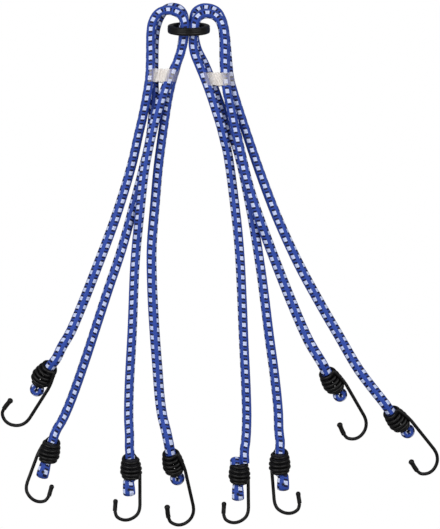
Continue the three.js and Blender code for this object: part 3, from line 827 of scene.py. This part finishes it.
def fold_line(stance):
    over = stance.hook["over"]
    fold = FOLD[over]
    foot = COIL_LENGTH + WIRE / 2
    straight = foot + fold["length"] - fold["bend"] - (fold["wide"] if over else fold["thick"])
    legs = np.linspace(FOLD_STARTS, straight, FOLD_STEPS["leg"])
    swell = np.clip((legs - foot + 1) / (straight - foot + 1), 0, 1)
    swell = fold["neck"] + (1 - fold["neck"]) * np.sin(math.pi / 2 * swell)
    room = np.array([coil_radius(min(leg / COIL_LENGTH, 1)) for leg in legs]) - INSIDE_WIRE
    room /= fold["bend"] + fold["wide"] if over else fold["wide"]
    swell = np.where(legs < COIL_LENGTH, np.maximum(swell, room), swell)
    turn = np.linspace(0, math.pi, FOLD_STEPS["turn"])[1:-1]
    along = np.concatenate([legs, straight + fold["bend"] * np.sin(turn), legs[::-1]])
    beside = np.concatenate([swell * fold["bend"], fold["bend"] * np.cos(turn), -swell[::-1] * fold["bend"]])
    size = np.concatenate([swell, np.ones(len(turn)), swell[::-1]])
    moved = np.clip((along - foot + KNOB_SHIFT["before_foot"]) / KNOB_SHIFT["over"], 0, 1)
    moved = KNOB_OFF[stance.number] * moved ** 2 * (3 - 2 * moved)
    columns = (along, beside + moved, 0 * along) if over else (along, moved, beside)
    return stance.mouth + np.column_stack(columns) @ stance.coil, size


for number, stance in STANCES.items():
    over = stance.hook["over"]
    fold = FOLD[over]
    line, size = fold_line(stance)
    both = even_steps(np.column_stack([line, size]), FOLD_STEP)
    line, size = both[:, :3], both[:, 3]
    repeats = lengths_along(line) / REPEAT_LENGTH + fold["count"]
    flat, sizes = (stance.coil[2], ("wide", "thick")) if over else (stance.coil[1], ("thick", "wide"))
    wide, thick = (fold[key] * size for key in sizes)
    piece = tube(f"folded_cord_{number}", line, flat, FOLD_SIDES, wide, thick, fold["roll"], repeats,
                 pick_relief)
    # Painted shade: a number from 0 to 1 at each point, 1 inside the coil and round the eye of the loop,
    # where the finish darkens the sheath.
    places = np.array([vertex.co for vertex in piece.data.vertices]) / MM - stance.mouth
    along, sideways = places @ stance.coil[0], places @ stance.coil[1]
    eye_at = COIL_LENGTH + WIRE / 2 + fold["eye"]
    from_eye = np.hypot(along - eye_at, sideways - KNOB_OFF[number])
    painted_shade = np.maximum(COIL_LENGTH + PAINTED_SHADE_SPREAD["past_coil"] - along, PAINTED_SHADE_SPREAD["eye"] - from_eye)
    write_number(piece, "painted_shade", np.clip(painted_shade / PAINTED_SHADE_SPREAD["fade"], 0, 1))
    piece.data.materials.append(SHEATH)
    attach(piece, "root")
    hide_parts(f"folded_end_{number}")
print("folded ends:", len(STANCES))

# %% [markdown]
# On the fifth hook the cord's end is longer. It comes out again at the coil's mouth, beside the cord, as
# a short stub with a rounded end.

# %% The tucked end beside one cord
TUCKED = {
    "hook": 5, "inside": 1.6, "gap": 0.3, "up": 2.6, "length": 6.4, "steps": 20, "radius": 4.7,
    "straight": 3.2, "round": 3.25, "roll": 20, "count": 0.35,
}
stance = STANCES[TUCKED["hook"]]
start = stance.by_coil(TUCKED["inside"], BESIDE[TUCKED["hook"]] - CORD_DIAMETER + TUCKED["gap"], TUCKED["up"])
passed = np.linspace(0, TUCKED["length"], TUCKED["steps"])
line = start + passed[:, None] * -stance.coil[0]
rounding_off = np.clip((passed - TUCKED["straight"]) / TUCKED["round"], 0, 1)
radius = TUCKED["radius"] * np.sqrt(np.clip(1 - rounding_off ** 2, 0.0001, 1))
piece = tube("tucked_cord_5", line, stance.coil[2], FOLD_SIDES, radius, radius, TUCKED["roll"],
             passed / REPEAT_LENGTH + TUCKED["count"], pick_relief)
piece.data.materials.append(SHEATH)
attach(piece, "root")
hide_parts("tucked_end_5")
print("faces in the tucked end:", len(piece.data.polygons))

# %% [markdown]
# The ring is one moulding, turned about its own axis from a plain section with rounded corners, as a mould
# leaves them. Two fine lines run round the middle of its rim. It stands on the rim and leans back a little,
# and its lowest spot is flat on the table.

# %% The ring
RING = {"outer": 18, "inner": 13.3, "half": 3.3, "fillet": 1.5, "lean": 14, "sunk": 0.5, "steps": 128}
RIM_LINES = {"deep": 0.22, "places": (0.3, 0.45, 0.75, 0.9), "raised": 0.12}
RING_AT = (188.8, 28.95)


def rounded(corners, fillet, steps):
    """A closed outline with every corner rounded by the same small radius."""
    corners = np.asarray(corners, float)
    outline = []
    for before, corner, after in zip(np.roll(corners, 1, 0), corners, np.roll(corners, -1, 0)):
        to_before, to_after = before - corner, after - corner
        reach = min(fillet, np.linalg.norm(to_before) * 0.45, np.linalg.norm(to_after) * 0.45)
        start = corner + to_before / np.linalg.norm(to_before) * reach
        end = corner + to_after / np.linalg.norm(to_after) * reach
        for t in np.linspace(0, 1, steps):
            outline.append(start * (1 - t) ** 2 + corner * 2 * t * (1 - t) + end * t ** 2)
    return np.array(outline)


def ring_section():
    outer, inner, half = RING["outer"], RING["inner"], RING["half"]
    deep, (edge, start, end, far) = outer - RIM_LINES["deep"], RIM_LINES["places"]
    line = [(outer, edge), (deep, start), (deep, end), (outer, far)]
    face = [(radius, -along) for radius, along in line[::-1]] + line
    rim = outer - RIM_LINES["raised"]
    body = rounded([(inner, half), (inner, -half), (rim, -half), (rim, half)], RING["fillet"], steps=8)
    bore = [point for point in body if point[0] <= inner + 0.01]
    low, high = ([point for point in body if point[0] > inner + 0.01 and point[1] * side > 0]
                 for side in (-1, 1))
    return np.array(low + face + high + bore)


def turned_ring():
    section = ring_section()
    around = np.arange(RING["steps"]) / RING["steps"] * 2 * math.pi
    lean = math.radians(RING["lean"])
    x = np.outer(np.cos(around), section[:, 0])
    across = np.outer(np.sin(around), section[:, 0])
    axis = np.broadcast_to(section[:, 1], x.shape)
    y = axis * math.cos(lean) - across * math.sin(lean)
    z = axis * math.sin(lean) + across * math.cos(lean)
    middle = place(*RING_AT, -z.min() - RING["sunk"])
    points = np.stack([x, y, z], -1).reshape(-1, 3) + middle
    points[:, 2] = np.maximum(points[:, 2], 0)
    count = len(section)
    faces = grid_faces(RING["steps"] + 1, count)
    faces = np.where(faces >= RING["steps"] * count, faces - RING["steps"] * count, faces)
    return new_piece("moulded_ring", points, faces.tolist())


RING_PLASTIC = coating_finish("ring_plastic", 3, 0.42, 700.0)
ring = turned_ring()
ring.data.materials.append(RING_PLASTIC)
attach(ring, "root")
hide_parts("ring")
print("ring faces:", len(ring.data.polygons))

# %% [markdown]
# Each clear band is thin film round two stacks of cord. Where it lies on the cords it is nearly clear, and
# where it spans the gap between them it sags and is creased and milky. The film is one grid of points,
# round the stacks and along them, with the creases as real folds. It has a thickness, so it is closed.

# %% The clear bands
BANDS = {
    "left": {"top": 69.3, "foot": 82.3, "top_span": (143.9, 181.9), "foot_span": (142.9, 177.9)},
    "right": {"top": 73, "foot": 86, "top_span": (196.3, 235.4), "foot_span": (201.1, 237.6)},
}
FILM = {"low": 0.12, "high": 18.1, "corner": 5.2, "steps": 160, "rows": 30, "thick": 0.12, "sag": 1.6}
FREE = {"middle": 1.35, "fall": 2.6}
CREASES = [(0.35, 2.3, 2, 0), (0.22, 5.1, -5, 1)]
UNEVEN_EDGE = 0.25
FILM_HEIGHT = 9
FILM_INSIDE_SPAN = 1.5
LOWEST_FILM = 0.02


def film_outline(half, count):
    """Places round a flat loop, with how far each one is from lying on a cord."""
    low, high, corner = FILM["low"], FILM["high"], FILM["corner"]
    flat = np.linspace(-1, 1, count // 2)
    reach = half - corner
    turn = np.linspace(0, math.pi, count // 6)[1:-1]
    middle, radius = (low + high) / 2, (high - low) / 2
    x = np.concatenate([reach * flat, reach + corner * np.sin(turn), -reach * flat,
                        -reach - corner * np.sin(turn)])
    z = np.concatenate([np.full(len(flat), low), middle - radius * np.cos(turn),
                        np.full(len(flat), high), middle + radius * np.cos(turn)])
    free = np.clip(FREE["middle"] - np.abs(x) / half * FREE["fall"], 0, 1)
    sag = np.concatenate([np.zeros(len(flat) + len(turn)), np.ones(len(flat)), np.zeros(len(turn))])
    return x, z - sag * free * FILM["sag"], free


def band(name, size):
    upper = [place(across, size["top"], FILM_HEIGHT) for across in size["top_span"]]
    lower = [place(across, size["foot"], FILM_HEIGHT) for across in size["foot_span"]]
    rows, free_rows = [], []
    for share in np.linspace(0, 1, FILM["rows"]):
        left, right = (a + (b - a) * share for a, b in zip(upper, lower))
        half = (right[0] - left[0]) / 2 - FILM_INSIDE_SPAN
        x, z, free = film_outline(half, FILM["steps"])
        crease = free * sum(deep * np.sin(x * rate + share * drift + begin)
                            for deep, rate, drift, begin in CREASES)
        edge = UNEVEN_EDGE * np.sin(x * 1.1 + 3 * (name == "left")) * (abs(share - 0.5) * 2) ** 4
        y = left[1] + (right[1] - left[1]) * 0.5 + edge + 0 * x
        rows.append(np.column_stack([x + (left[0] + right[0]) / 2, y, np.maximum(z + crease, LOWEST_FILM)]))
        free_rows.append(free)
    sides = len(rows[0])
    piece = new_piece("film_" + name, np.vstack(rows), grid_faces(FILM["rows"], sides)[:, ::-1].tolist())
    write_number(piece, "milky", np.concatenate(free_rows))
    wall = piece.modifiers.new("thickness", "SOLIDIFY")
    wall.thickness = FILM["thick"] * MM
    wall.offset = -1
    return piece


def film_finish():
    finish = Finish("clear_film", Roughness=0.28, Specular_IOR_Level=0.6)
    where = finish.node("ShaderNodeTexCoord", {}, {}, out="Object")
    milky = finish.node("ShaderNodeAttribute", {"attribute_name": "milky"}, {}, out="Fac")
    x, y, z = finish.parts(where)
    streaks = finish.noise(finish.node("ShaderNodeCombineXYZ", {}, {0: x * 900, 1: y * 120, 2: z * 200}), 1.0)
    finish.set("Base Color", finish.mix(streaks, colour(240, 230, 220), colour(255, 252, 248)))
    finish.set("Alpha", (0.1 + 0.3 * (streaks - 0.4) + 0.5 * milky).clamped())
    finish.bump(streaks, 0.5, 0.0006)
    return finish.material


CLEAR_FILM = film_finish()
for name, size in BANDS.items():
    piece = band(name, size)
    piece.data.materials.append(CLEAR_FILM)
    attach(piece, "root")
    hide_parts("band_" + name)
print("bands:", len(BANDS))

# %% [markdown]
# The floor is plain and pale, and the light is soft and even, as in a product picture: a large lamp above
# each side, and a pale surround that fills the shadows.

# %% Floor and light
TABLE_HALF = 3
LAMP_SIZE = 1.2
LAMPS = {"lamp_left": ((-0.9, 0.4, 1.2), 15), "lamp_right": ((0.9, 0.4, 1.2), 13)}
SURROUND = 0.28


def floor_and_light():
    corners = [(-TABLE_HALF, -TABLE_HALF, 0), (TABLE_HALF, -TABLE_HALF, 0),
               (TABLE_HALF, TABLE_HALF, 0), (-TABLE_HALF, TABLE_HALF, 0)]
    mesh = bpy.data.meshes.new("table")
    mesh.from_pydata(corners, [], [(0, 1, 2, 3)])
    table = bpy.data.objects.new("table", mesh)
    bpy.context.scene.collection.objects.link(table)
    paper = Finish("light_table", Roughness=1.0, Base_Color=(0, 0, 0, 1), Specular_IOR_Level=0.0,
                   Emission_Strength=1.0)
    seen = paper.node("ShaderNodeLightPath", {}, {}, out="Is Camera Ray")
    paper.set("Emission Color", paper.mix(seen, (0.3, 0.3, 0.3, 1), (1, 1, 1, 1)))
    table.data.materials.append(paper.material)
    world = bpy.data.worlds.new("pale_surround")
    world.use_nodes = True
    world.node_tree.nodes["Background"].inputs["Color"].default_value = (1, 1, 1, 1)
    world.node_tree.nodes["Background"].inputs["Strength"].default_value = SURROUND
    bpy.context.scene.world = world
    bpy.context.scene.view_settings.view_transform = "Standard"
    for name, (place_at, power) in LAMPS.items():
        lamp = bpy.data.lights.new(name, "AREA")
        lamp.energy, lamp.size = power, LAMP_SIZE
        holder = bpy.data.objects.new(name, lamp)
        holder.location = place_at
        aim = -holder.location.normalized()
        holder.rotation_mode = "QUATERNION"
        holder.rotation_quaternion = aim.to_track_quat("-Z", "Y")
        bpy.context.scene.collection.objects.link(holder)


floor_and_light()
print("lamps:", len(LAMPS))
